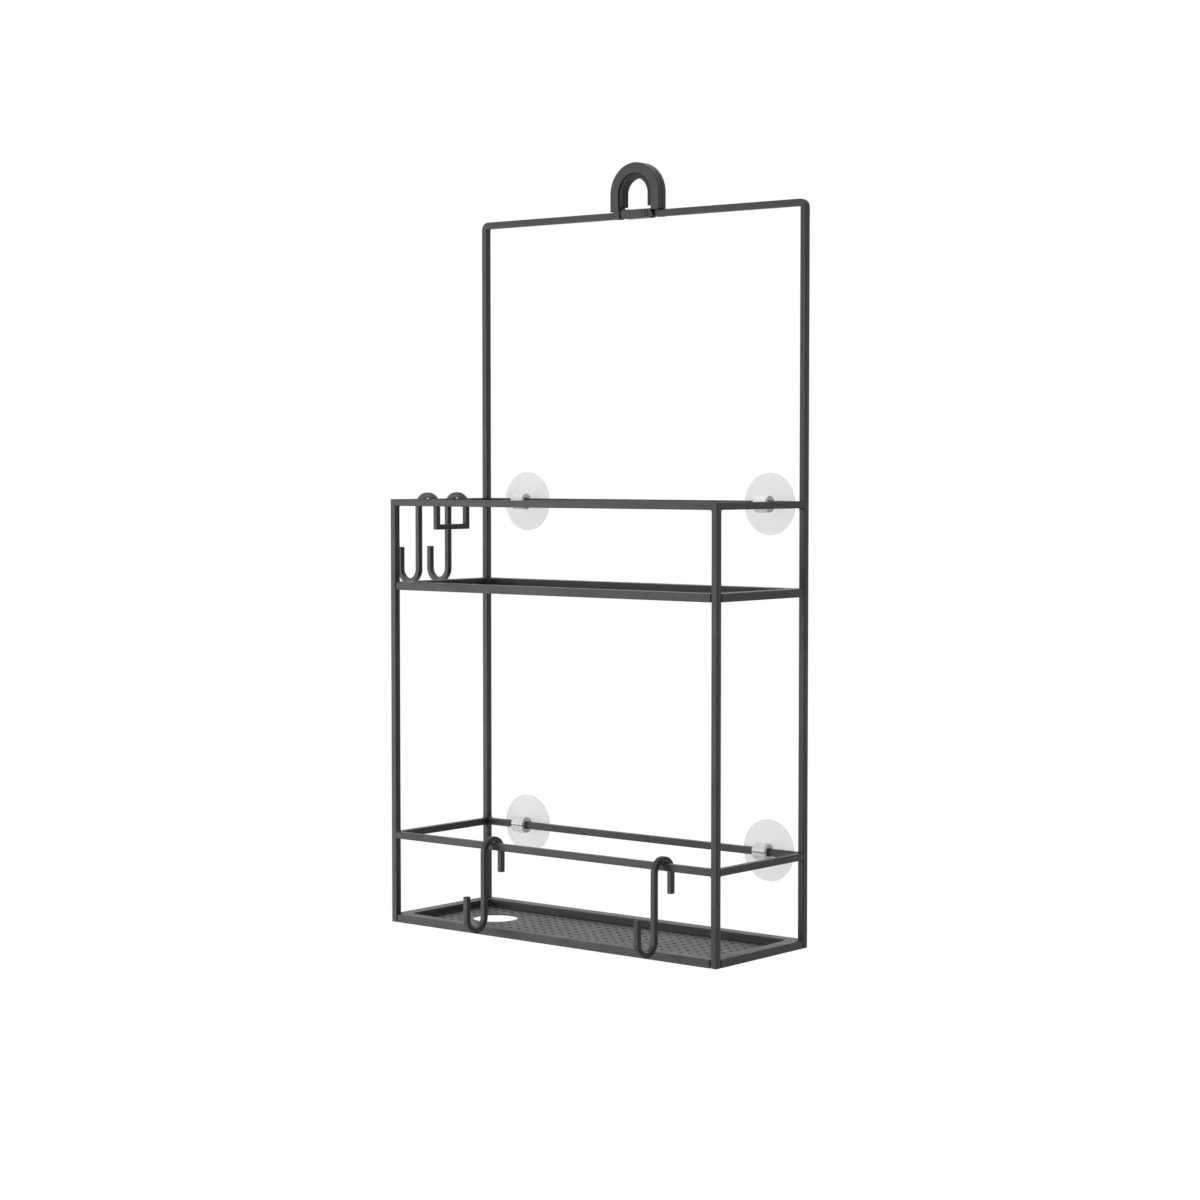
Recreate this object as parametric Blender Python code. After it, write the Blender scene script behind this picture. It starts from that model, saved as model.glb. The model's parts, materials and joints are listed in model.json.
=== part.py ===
"""A two-basket shower caddy that hangs from a shower arm.

The frame is welded from square steel rod. A split plastic grip at the top of its hoop sits on the
shower arm and a hinged gate closes under it. Two pressed trays make the baskets. Two S hooks and a
double razor hook hang on the rails, and four clear suction cups keep the back off the wall.

Metres, +Z up, +X to the right and +Y to the wall, seen from in front. The origin is on the axis of
the shower arm, in the plane of the hoop.
"""
import math

import bmesh
import bpy
from mathutils import Matrix, Vector

# ---- driving dimensions -------------------------------------------------------------------------
WIDTH = 0.340             # over the posts
DEPTH = 0.120             # over the posts
ROD = 0.0056              # side of the frame's square rod
GAP = 0.0003              # between pieces that touch on the real caddy
ARM_HEIGHT = 0.6045       # shower arm's axis above the underside of the lower tray

HOOP_TOP = 0.5903         # heights, all above the underside of the lower tray
TOP_RAIL_TOP = 0.3539
UPPER_TRAY = 0.2785
GUARD_RAIL_TOP = 0.0759
HOOP_BEND = 0.0038        # radius of the rod's centre line at the hoop's corners

TRAY_HEIGHT = 0.0066
TRAY_SHEET = 0.0009       # thickness of the pressed sheet
TRAY_BORDER = 0.0115      # width of the flat border round the recess
TRAY_CORNER = 0.0060      # radius of the recess's corners
POST_CLEARANCE = 0.0010   # shadow gap between a tray's notch and the post
BOTTLE_HOLE = 0.038       # diameter
BOTTLE_HOLE_X = -0.1106
BOTTLE_HOLE_BACK = 0.0039 # how far the hole lies behind the tray's middle

GRIP_OUTER = 0.0255       # radii of the arch round the shower arm
GRIP_INNER = 0.0169
LINER_INNER = 0.0129
LINER_LEG = 0.0104        # how far the liner's legs reach below the arm's axis
GRIP_FRONT = -0.0051      # faces of the grip, across the hoop's plane
GRIP_BACK = 0.0044
GRIP_SEAM = -0.0005
FRONT_WALL = 0.0012       # plastic left in front of the shell screws' holes
LINER_FRONT = -0.0042
LINER_BACK = 0.0036
FOOT_LEFT = -0.0222       # the front shell's left leg runs on down between these
FOOT_RIGHT = -0.0156
SKIRT_INNER = 0.0178      # the back shell's skirts reach in to here, behind the rods
ROD_END_LEFT = -0.0185    # where the hoop's two rods stop, left and right of the arm
ROD_END_RIGHT = 0.0195

PIN_X = -0.0101           # gate hinge, from the arm's axis
PIN_Z = -0.0153
PIN_RADIUS = 0.0012
PIN_FRONT = -0.0033
KNUCKLE = 0.0049
GATE_TOP = -0.0128
GATE_BOTTOM = -0.0202
GATE_END = 0.0164
GATE_FRONT = -0.0044
GATE_BACK = 0.0028
GATE_NOSE = 0.0188         # the gate's catch is a wedge: its tip, crest, lower and upper face
NOSE_CREST = 0.0176
NOSE_BOTTOM = -0.0192
NOSE_TOP = -0.0155
LATCH_LEFT = 0.0074
LATCH_DEPTH = 0.0019
LATCH_SEAT = -0.0010      # back of the latch button's seat in the gate
PEG_RADIUS = 0.0012       # the latch button's peg, and the hole that it slides in
PEG_HOLE = 0.0015
PEG_END = 0.0004
PEG_HOLE_END = 0.0022
LUG_RADIUS = 0.0033       # the shell's hinge lug, between the gate's knuckles
LUG_FRONT = -0.00035
LUG_BACK = 0.0019

SCREW_HOLE = 0.0015
SCREW_SHANK = 0.0012
SCREW_LENGTH = 0.0048
SCREW_HEAD = 0.0021
SCREW_HEAD_DEPTH = 0.0011
SHELL_SCREW_Z = -0.0060
ROD_SCREW_X = 0.0225
ROD_HOLE_END = -0.0014    # bottom of the screw holes in the rods

HOOK_ROD = 0.0044         # side of the hooks' square rod
HOOK_BEND = 0.0104        # radius of its centre line in every half turn
HOOK_LEFT_X = -0.0593
HOOK_RIGHT_X = 0.1160
HOOK_DROP = 0.0764        # an S hook's overall height
HOOK_TIP = 0.0310         # height of the open tip above the hook's lowest point
HOOK_TAIL = 0.0302        # length of its short rear leg, from the crown down
RAZOR_SPACING = 0.0365    # between the double hook's two hooks
RAZOR_BACK = 0.0008       # how far it hangs behind the rail's middle
RAZOR_DROP = 0.0775
RAZOR_TAIL = 0.0312

CLIP_OUTER = 0.00675
CLIP_LENGTH = 0.0122
CLIP_SLIT = 0.0008
CUP_X = 0.128             # suction cups, left and right of the middle
CUP_RADIUS = 0.0248
WALL_Y = 0.0089           # plane of the wall that the cups stick to
CUP_LIP = 0.0008
CUP_EDGE = 0.0010
CUP_BEVEL = 0.0003
CUP_NECK = 0.0035         # flat top of the dome round the knob
CUP_SHOULDER = 0.0120     # radius at which the dome starts to fall away to the lip
CUP_FALL = 0.0006         # how far it has sunk by then
KNOB_RADIUS = 0.0021

OVERLAP = 0.001           # how far a cutting or joining shape runs past a face
MERGE = 0.00001           # points nearer than this are one point
ROUND_SEGMENTS = 24

# ---- derived places -----------------------------------------------------------------------------
HALF_ROD = ROD / 2
POST_X = WIDTH / 2 - HALF_ROD
BACK_FACE = HALF_ROD
FRONT_FACE = BACK_FACE - DEPTH
FRONT_Y = FRONT_FACE + HALF_ROD
MIDDLE_Y = (FRONT_FACE + BACK_FACE) / 2
BASE_Z = -ARM_HEIGHT


def level(height):
    """Z of a height above the underside of the lower tray."""
    return height - ARM_HEIGHT


TOP_RAIL_Z = level(TOP_RAIL_TOP) - HALF_ROD
GUARD_RAIL_Z = level(GUARD_RAIL_TOP) - HALF_ROD
ROD_TOP_Z = level(HOOP_TOP)
LEG_END = ROD_TOP_Z + GAP                     # the grip's legs stand on the rods
SKIRT_BOTTOM = ROD_TOP_Z - ROD                # level with the rods' undersides
SKIRT_FRONT = HALF_ROD + GAP
SHELL_SCREW_X = (GRIP_OUTER + GRIP_INNER) / 2
ROD_SCREW_Z = ROD_TOP_Z - HALF_ROD
LATCH_MIDDLE = ((LATCH_LEFT + GATE_END) / 2, (GATE_TOP + GATE_BOTTOM) / 2)
CROWN_INNER = HOOK_BEND - HOOK_ROD / 2
# A hook's crown sits on the rail's two top edges, so its spring line is below the rail's top.
SPRING_DROP = math.sqrt(CROWN_INNER ** 2 - HALF_ROD ** 2) - GAP


# ---- materials ----------------------------------------------------------------------------------
def material(name, colour, roughness, metallic=0.0, transmission=0.0):
    made = bpy.data.materials.new(name)
    made.use_nodes = True
    shader = made.node_tree.nodes["Principled BSDF"]
    shader.inputs["Base Color"].default_value = (*colour, 1.0)
    shader.inputs["Roughness"].default_value = roughness
    shader.inputs["Metallic"].default_value = metallic
    shader.inputs["Transmission Weight"].default_value = transmission
    return made


# ---- building blocks ----------------------------------------------------------------------------
def add_object(name, mesh_data, finish):
    """Turn a finished bmesh into a named object with one material."""
    bmesh.ops.recalc_face_normals(mesh_data, faces=mesh_data.faces)
    mesh = bpy.data.meshes.new(name)
    mesh_data.to_mesh(mesh)
    mesh_data.free()
    mesh.materials.append(finish)
    made = bpy.data.objects.new(name, mesh)
    bpy.context.scene.collection.objects.link(made)
    return made


def box_mesh(low, high):
    """A box between two corners, as a bmesh."""
    made = bmesh.new()
    size = [top - bottom for bottom, top in zip(low, high)]
    middle = [(top + bottom) / 2 for bottom, top in zip(low, high)]
    placed = Matrix.Translation(middle) @ Matrix.Diagonal((*size, 1.0))
    bmesh.ops.create_cube(made, size=1.0, matrix=placed)
    return made


def box(name, low, high, finish):
    return add_object(name, box_mesh(low, high), finish)


def prism_mesh(outline, start, end, axis):
    """Extrude a closed 2D outline along one world axis, as a bmesh.

    The outline's two numbers are the other two world axes, in X, Y, Z order.
    """
    def point(pair, along):
        values = list(pair)
        values.insert("XYZ".index(axis), along)
        return Vector(values)

    made = bmesh.new()
    base = [made.verts.new(point(pair, start)) for pair in outline]
    face = made.faces.new(base)
    grown = bmesh.ops.extrude_face_region(made, geom=[face])
    moved = [part for part in grown["geom"] if isinstance(part, bmesh.types.BMVert)]
    shift = point((0.0, 0.0), end - start)
    bmesh.ops.translate(made, verts=moved, vec=shift)
    return made


def arc(centre, radius, start, end, segments):
    """Points on an arc from one angle to another, in degrees."""
    points = []
    for step in range(segments + 1):
        angle = math.radians(start + (end - start) * step / segments)
        points.append((centre[0] + radius * math.cos(angle), centre[1] + radius * math.sin(angle)))
    return points


def circle(centre, radius, segments=ROUND_SEGMENTS):
    return arc(centre, radius, 0, 360, segments)[:-1]


def cut(target, cutter_mesh):
    """Subtract a bmesh from an object and apply the result."""
    cutter = add_object("cutter", cutter_mesh, target.data.materials[0])
    apply_boolean(target, cutter, "DIFFERENCE")


def join(target, extra_mesh):
    """Add a bmesh that overlaps an object to it and apply the result."""
    extra = add_object("extra", extra_mesh, target.data.materials[0])
    apply_boolean(target, extra, "UNION")


def apply_boolean(target, tool, operation):
    modifier = target.modifiers.new("boolean", "BOOLEAN")
    modifier.operation = operation
    modifier.solver = "EXACT"
    modifier.object = tool
    evaluated = target.evaluated_get(bpy.context.evaluated_depsgraph_get())
    result = bpy.data.meshes.new_from_object(evaluated)
    target.modifiers.clear()
    target.data = result
    bpy.data.objects.remove(tool)


def smooth(made, angle=40):
    made.data.shade_smooth()
    made.data.set_sharp_from_angle(angle=math.radians(angle))


def set_origin(made, origin):
    """Move an object's origin onto its joint's axis and leave its shape where it is."""
    origin = Vector(origin)
    made.data.transform(Matrix.Translation(-origin))
    made.location = origin


def square_rod(points, side, across):
    """Sweep a square along a path with mitred corners, as a bmesh.

    across is one of the square's directions at the start, at right angles to the path there.
    """
    points = [Vector(point) for point in points]
    runs = [(after - before).normalized() for before, after in zip(points, points[1:])]
    first = Vector(across)
    rings = []
    made = bmesh.new()
    for index, point in enumerate(points):
        before = runs[max(index - 1, 0)]
        after = runs[min(index, len(runs) - 1)]
        second = before.cross(first)
        mitre = (before + after).normalized()
        ring = []
        for u, v in ((1, 1), (-1, 1), (-1, -1), (1, -1)):
            offset = (first * u + second * v) * side / 2
            slide = -offset.dot(mitre) / before.dot(mitre)
            ring.append(made.verts.new(point + offset + before * slide))
        rings.append(ring)
        first = before.rotation_difference(after) @ first
    for ring, following in zip(rings, rings[1:]):
        for corner in range(4):
            beside = (corner + 1) % 4
            made.faces.new((ring[corner], ring[beside], following[beside], following[corner]))
    made.faces.new(rings[0])
    made.faces.new(rings[-1])
    return made


# ---- frame --------------------------------------------------------------------------------------
def hoop_rod(name, side, end_x, finish):
    """A rear upright, bent at the top, that runs inwards and stops at the grip."""
    rod_z = ROD_TOP_Z - HALF_ROD
    corner = (side * (POST_X - HOOP_BEND), rod_z - HOOP_BEND)
    if side < 0:
        bend = arc(corner, HOOP_BEND, 180, 90, 6)
    else:
        bend = arc(corner, HOOP_BEND, 0, 90, 6)
    route = [(side * POST_X, 0, BASE_Z)]
    route += [(x, 0, z) for x, z in bend]
    route.append((end_x, 0, rod_z))
    made = add_object(name, square_rod(route, ROD, (0, 1, 0)), finish)
    screw_x = side * ROD_SCREW_X
    hole = prism_mesh(circle((screw_x, ROD_SCREW_Z), SCREW_HOLE, 12), ROD_HOLE_END, ROD, "Y")
    cut(made, hole)
    return made


def frame_rods(finish):
    hoop_rod("hoop_left", -1, ROD_END_LEFT, finish)
    hoop_rod("hoop_right", 1, ROD_END_RIGHT, finish)
    for side, label in ((-1, "left"), (1, "right")):
        x = side * POST_X
        low = (x - HALF_ROD, FRONT_FACE, BASE_Z)
        high = (x + HALF_ROD, FRONT_FACE + ROD, level(TOP_RAIL_TOP))
        box(f"front_post_{label}", low, high, finish)
    for ring, rail_z in (("top", TOP_RAIL_Z), ("guard", GUARD_RAIL_Z)):
        low_z = rail_z - HALF_ROD
        high_z = rail_z + HALF_ROD
        reach_x = POST_X - HALF_ROD - GAP
        for label, y in (("front", FRONT_Y), ("back", 0.0)):
            low = (-reach_x, y - HALF_ROD, low_z)
            box(f"{ring}_rail_{label}", low, (reach_x, y + HALF_ROD, high_z), finish)
        for side, label in ((-1, "left"), (1, "right")):
            low = (side * POST_X - HALF_ROD, FRONT_FACE + ROD + GAP, low_z)
            high = (side * POST_X + HALF_ROD, BACK_FACE - ROD - GAP, high_z)
            box(f"{ring}_rail_{label}", low, high, finish)


# ---- trays --------------------------------------------------------------------------------------
def rounded_rectangle(half_x, half_y, middle_y, radius):
    outline = []
    for x_sign, y_sign, start in ((1, 1, 0), (-1, 1, 90), (-1, -1, 180), (1, -1, 270)):
        centre = (x_sign * (half_x - radius), middle_y + y_sign * (half_y - radius))
        outline += arc(centre, radius, start, start + 90, 6)
    return outline


def tray(name, bottom, finish):
    """A pan pressed from sheet: a perforated floor, and a rim that is open underneath."""
    top = bottom + TRAY_HEIGHT
    half_x = WIDTH / 2
    half_y = DEPTH / 2
    past = 2 * OVERLAP
    low = (-half_x, MIDDLE_Y - half_y, bottom)
    made = box(name, low, (half_x, MIDDLE_Y + half_y, top), finish)

    recess = rounded_rectangle(half_x - TRAY_BORDER, half_y - TRAY_BORDER, MIDDLE_Y, TRAY_CORNER)
    cut(made, prism_mesh(recess, bottom + TRAY_SHEET, top + past, "Z"))

    notch = ROD + POST_CLEARANCE
    for x_sign in (-1, 1):
        for y_sign in (-1, 1):
            corner = (x_sign * half_x, MIDDLE_Y + y_sign * half_y)
            inner = (corner[0] - x_sign * notch, corner[1] - y_sign * notch)
            outer = (corner[0] + x_sign * past, corner[1] + y_sign * past)
            low = (min(inner[0], outer[0]), min(inner[1], outer[1]), bottom - past)
            high = (max(inner[0], outer[0]), max(inner[1], outer[1]), top + past)
            cut(made, box_mesh(low, high))

    channel_out = TRAY_SHEET                   # walls of the folded rim, from its outer face
    channel_in = TRAY_BORDER - TRAY_SHEET
    end_x = half_x - notch - TRAY_SHEET
    end_y = half_y - notch - TRAY_SHEET
    under = top - TRAY_SHEET
    for sign in (-1, 1):
        edges = sorted((sign * (half_y - channel_out), sign * (half_y - channel_in)))
        low = (-end_x, MIDDLE_Y + edges[0], bottom - past)
        cut(made, box_mesh(low, (end_x, MIDDLE_Y + edges[1], under)))
        edges = sorted((sign * (half_x - channel_out), sign * (half_x - channel_in)))
        low = (edges[0], MIDDLE_Y - end_y, bottom - past)
        cut(made, box_mesh(low, (edges[1], MIDDLE_Y + end_y, under)))

    hole = circle((BOTTLE_HOLE_X, MIDDLE_Y + BOTTLE_HOLE_BACK), BOTTLE_HOLE / 2, 32)
    cut(made, prism_mesh(hole, bottom - past, bottom + TRAY_SHEET + past, "Z"))
    return made


# ---- grip ---------------------------------------------------------------------------------------
def arch_outline(outer, inner, leg_end):
    """An upside-down U round the shower arm, as X and Z."""
    outline = [(outer, leg_end)]
    outline += arc((0, 0), outer, 0, 180, ROUND_SEGMENTS)
    outline += [(-outer, leg_end), (-inner, leg_end)]
    outline += arc((0, 0), inner, 180, 0, ROUND_SEGMENTS)
    outline.append((inner, leg_end))
    return outline


def grip_front_shell(finish):
    outline = arch_outline(GRIP_OUTER, GRIP_INNER, LEG_END)
    seam = GRIP_SEAM - GAP / 2
    made = add_object("grip_front_shell", prism_mesh(outline, GRIP_FRONT, seam, "Y"), finish)
    # The left leg runs on down over the rod's end and hides the hinge's root.
    low = (FOOT_LEFT, GRIP_FRONT, SKIRT_BOTTOM)
    join(made, box_mesh(low, (FOOT_RIGHT, -SKIRT_FRONT, LEG_END + OVERLAP)))
    for side in (-1, 1):
        spot = (side * SHELL_SCREW_X, SHELL_SCREW_Z)
        cut(made, prism_mesh(circle(spot, SCREW_HOLE, 12), GRIP_FRONT + FRONT_WALL, OVERLAP, "Y"))
    smooth(made)


def grip_back_shell(finish):
    outline = arch_outline(GRIP_OUTER, GRIP_INNER, LEG_END)
    seam = GRIP_SEAM + GAP / 2
    made = add_object("grip_back_shell", prism_mesh(outline, seam, GRIP_BACK, "Y"), finish)
    for side in (-1, 1):
        edges = sorted((side * GRIP_OUTER, side * SKIRT_INNER))
        low = (edges[0], SKIRT_FRONT, SKIRT_BOTTOM)
        join(made, box_mesh(low, (edges[1], GRIP_BACK, LEG_END + OVERLAP)))
        behind = GRIP_BACK + OVERLAP
        shell_spot = (side * SHELL_SCREW_X, SHELL_SCREW_Z)
        cut(made, prism_mesh(circle(shell_spot, SCREW_HOLE, 12), seam - OVERLAP, behind, "Y"))
        counterbore = circle(shell_spot, SCREW_HEAD + GAP, 16)
        cut(made, prism_mesh(counterbore, GRIP_BACK - SCREW_HEAD_DEPTH - GAP, behind, "Y"))
        rod_spot = (side * ROD_SCREW_X, ROD_SCREW_Z)
        cut(made, prism_mesh(circle(rod_spot, SCREW_HOLE, 12), SKIRT_FRONT - OVERLAP, behind, "Y"))
    # The hinge lug: a tongue with a round end, between the gate's two knuckles.
    lug = arc((PIN_X, PIN_Z), LUG_RADIUS, -90, 90, 12)
    lug += [(-SKIRT_INNER, PIN_Z + LUG_RADIUS), (-SKIRT_INNER, PIN_Z - LUG_RADIUS)]
    join(made, prism_mesh(lug, LUG_FRONT, LUG_BACK, "Y"))
    hole = circle((PIN_X, PIN_Z), PIN_RADIUS + GAP, 16)
    cut(made, prism_mesh(hole, LUG_FRONT - OVERLAP, LUG_BACK + OVERLAP, "Y"))
    smooth(made)


def grip_liner(finish):
    outline = arch_outline(GRIP_INNER - GAP, LINER_INNER, -LINER_LEG)
    made = add_object("grip_liner", prism_mesh(outline, LINER_FRONT, LINER_BACK, "Y"), finish)
    smooth(made)


def screw(name, x, z, head_front, finish):
    """A cheese-head screw driven in from the back, turned about Y."""
    tip = head_front - SCREW_LENGTH
    shank = circle((x, z), SCREW_SHANK, 12)
    made = add_object(name, prism_mesh(shank, tip, head_front + SCREW_HEAD_DEPTH / 2, "Y"), finish)
    head = circle((x, z), SCREW_HEAD, 16)
    join(made, prism_mesh(head, head_front, head_front + SCREW_HEAD_DEPTH, "Y"))
    smooth(made)


def gate(finish):
    meets_top = 180 - math.degrees(math.asin((GATE_TOP - PIN_Z) / KNUCKLE))
    outline = arc((PIN_X, PIN_Z), KNUCKLE, 270, meets_top, 12)
    outline += [(GATE_END, GATE_TOP), (GATE_END, NOSE_TOP), (NOSE_CREST, NOSE_TOP)]
    outline += [(GATE_NOSE, NOSE_BOTTOM), (GATE_END, NOSE_BOTTOM), (GATE_END, GATE_BOTTOM)]
    made = add_object("gate", prism_mesh(outline, GATE_FRONT, GATE_BACK, "Y"), finish)
    # Slot for the shell's lug.
    low = (PIN_X - KNUCKLE - OVERLAP, LUG_FRONT - GAP, GATE_BOTTOM - OVERLAP)
    slot_end = PIN_X + LUG_RADIUS + 4 * GAP
    cut(made, box_mesh(low, (slot_end, LUG_BACK + GAP, GATE_TOP + OVERLAP)))
    # Pin hole, open at the back.
    hole = circle((PIN_X, PIN_Z), PIN_RADIUS + GAP, 16)
    cut(made, prism_mesh(hole, PIN_FRONT - GAP, GATE_BACK + OVERLAP, "Y"))
    # Seat of the latch button, and the hole that its peg slides in.
    low = (LATCH_LEFT - GAP, GATE_FRONT - OVERLAP, GATE_BOTTOM - OVERLAP)
    cut(made, box_mesh(low, (GATE_END + GAP, LATCH_SEAT, GATE_TOP + OVERLAP)))
    cut(made, prism_mesh(circle(LATCH_MIDDLE, PEG_HOLE, 12), LATCH_SEAT - OVERLAP, PEG_HOLE_END, "Y"))
    set_origin(made, (PIN_X, 0, PIN_Z))
    smooth(made)


def gate_pin(finish):
    made = prism_mesh(circle((PIN_X, PIN_Z), PIN_RADIUS, 16), PIN_FRONT, GATE_BACK - GAP, "Y")
    smooth(add_object("gate_pin", made, finish))


def latch_button(finish):
    back = GATE_FRONT + LATCH_DEPTH
    low = (LATCH_LEFT, GATE_FRONT, GATE_BOTTOM)
    made = box("latch_button", low, (GATE_END, back, GATE_TOP), finish)
    peg = circle(LATCH_MIDDLE, PEG_RADIUS, 12)
    join(made, prism_mesh(peg, back - OVERLAP / 2, PEG_END, "Y"))
    smooth(made)


# ---- hooks --------------------------------------------------------------------------------------
def hook_profile(drop, tip, tail):
    """One hook in its own plane, from the tip up and over to the tail.

    The first number runs from the rail towards the open J, the second is the height above the
    crown's spring line.
    """
    leg = HOOK_BEND
    low = HOOK_BEND + HOOK_ROD / 2 - drop      # lowest face, from the spring line
    turn = low + HOOK_ROD / 2 + HOOK_BEND
    profile = [(leg + 2 * HOOK_BEND, low + tip)]
    profile += arc((leg + HOOK_BEND, turn), HOOK_BEND, 0, -180, 12)
    profile += arc((0, 0), HOOK_BEND, 0, 180, 12)
    profile.append((-HOOK_BEND, HOOK_BEND + HOOK_ROD / 2 - tail))
    return profile


def s_hook(name, x, finish):
    spring = level(GUARD_RAIL_TOP) - SPRING_DROP
    profile = hook_profile(HOOK_DROP, HOOK_TIP, HOOK_TAIL)
    route = [(x, FRONT_Y - out, spring + up) for out, up in profile]
    made = add_object(name, square_rod(route, HOOK_ROD, (1, 0, 0)), finish)
    set_origin(made, (x, FRONT_Y, GUARD_RAIL_Z))
    smooth(made)


def razor_hook(finish):
    """Two hooks side by side, bent from one rod that crosses between their short legs."""
    spring = level(TOP_RAIL_TOP) - SPRING_DROP
    middle = MIDDLE_Y + RAZOR_BACK
    profile = hook_profile(RAZOR_DROP, HOOK_TIP, RAZOR_TAIL - HOOK_ROD / 2)
    front = [(-POST_X - out, middle - RAZOR_SPACING / 2, spring + up) for out, up in profile]
    rear = [(-POST_X - out, middle + RAZOR_SPACING / 2, spring + up) for out, up in profile]
    route = front + rear[::-1]
    made = add_object("razor_hook", square_rod(route, HOOK_ROD, (0, 1, 0)), finish)
    set_origin(made, (-POST_X, middle, TOP_RAIL_Z))
    smooth(made)


# ---- suction cups -------------------------------------------------------------------------------
def rail_clip(name, x, z, finish):
    """A clear split tube that snaps over a rail, with a seat for the cup's knob behind."""
    half = CLIP_LENGTH / 2
    tube = prism_mesh(circle((0.0, z), CLIP_OUTER), x - half, x + half, "X")
    made = add_object(name, tube, finish)
    bore = HALF_ROD + GAP
    past = half + OVERLAP
    cut(made, box_mesh((x - past, -bore, z - bore), (x + past, bore, z + bore)))
    slit = CLIP_SLIT / 2
    low = (x - past, -CLIP_OUTER - OVERLAP, z - slit)
    cut(made, box_mesh(low, (x + past, OVERLAP - bore, z + slit)))
    seat = circle((x, z), KNOB_RADIUS + GAP, 16)
    cut(made, prism_mesh(seat, bore - OVERLAP, CLIP_OUTER + OVERLAP, "Y"))
    set_origin(made, (x, 0, z))
    smooth(made)


def suction_cup(name, x, z, finish):
    """A cup pressed flat on the wall: a shallow dome, its lip and the knob in front."""
    start = CLIP_OUTER + GAP                   # front of the dome
    knob_front = HALF_ROD + 3 * GAP
    profile = [(0.0, knob_front), (KNOB_RADIUS, knob_front), (KNOB_RADIUS, start)]
    profile += [(CUP_NECK, start), (CUP_SHOULDER, start + CUP_FALL)]
    profile += [(CUP_RADIUS - CUP_EDGE, WALL_Y - CUP_LIP), (CUP_RADIUS, WALL_Y - CUP_LIP / 2)]
    profile += [(CUP_RADIUS - CUP_BEVEL, WALL_Y), (0.0, WALL_Y)]
    made = bmesh.new()
    points = [made.verts.new((x + radius, y, z)) for radius, y in profile]
    edges = [made.edges.new(pair) for pair in zip(points, points[1:])]
    turn = 2 * math.pi
    bmesh.ops.spin(made, geom=points + edges, cent=(x, 0, z), axis=(0, 1, 0), angle=turn,
                   steps=40, use_merge=True)
    bmesh.ops.remove_doubles(made, verts=made.verts, dist=MERGE)
    cup = add_object(name, made, finish)
    set_origin(cup, (x, 0, z))
    smooth(cup)


# ---- assembly -----------------------------------------------------------------------------------
def build():
    for old in list(bpy.data.objects):
        bpy.data.objects.remove(old)

    powder_coat = material("powder_coat", (0.022, 0.022, 0.023), 0.55)
    black_plastic = material("black_plastic", (0.018, 0.018, 0.019), 0.45)
    rubber = material("rubber", (0.010, 0.010, 0.010), 0.8)
    steel = material("steel", (0.55, 0.55, 0.56), 0.3, metallic=1.0)
    clear_plastic = material("clear_plastic", (0.93, 0.94, 0.94), 0.12, transmission=0.8)
    clear_vinyl = material("clear_vinyl", (0.88, 0.89, 0.90), 0.25, transmission=0.8)

    frame_rods(powder_coat)
    tray("lower_tray", BASE_Z, powder_coat)
    tray("upper_tray", level(UPPER_TRAY), powder_coat)

    grip_front_shell(black_plastic)
    grip_back_shell(black_plastic)
    grip_liner(rubber)
    gate(black_plastic)
    gate_pin(steel)
    latch_button(black_plastic)
    for side, label in ((-1, "left"), (1, "right")):
        seat = GRIP_BACK - SCREW_HEAD_DEPTH
        screw(f"grip_screw_{label}", side * SHELL_SCREW_X, SHELL_SCREW_Z, seat, steel)
        screw(f"rod_screw_{label}", side * ROD_SCREW_X, ROD_SCREW_Z, GRIP_BACK + GAP, steel)

    s_hook("hook_left", HOOK_LEFT_X, powder_coat)
    s_hook("hook_right", HOOK_RIGHT_X, powder_coat)
    razor_hook(powder_coat)

    for side, label in ((-1, "left"), (1, "right")):
        for row, rail_z in (("upper", TOP_RAIL_Z), ("lower", GUARD_RAIL_Z)):
            rail_clip(f"clip_{row}_{label}", side * CUP_X, rail_z, clear_plastic)
            suction_cup(f"cup_{row}_{label}", side * CUP_X, rail_z, clear_vinyl)


build()
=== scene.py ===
# %% [markdown]
# # A shower caddy: finishing a frame of square rod, two trays, a grip and its fittings
#
# The caddy's working design is fixed: every rail, hook and hinge already has its place and its
# size. This lesson gives each piece the form and the finish that it has when it leaves the
# workshop. Square rod gets the soft corners of drawn steel under powder coat, the trays get their
# folded rims and drain holes, and the plastic grip gets its moulded edges and its seam.
#
# The first step loads that design. Places and outer sizes are read from it, so a finished piece
# always lies exactly where the working piece does. Only the details are given here, such as
# corners, folds and drain holes.

# %% Load the caddy's working design
import json
import math

import bmesh
import bpy
from mathutils import Matrix, Vector

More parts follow.
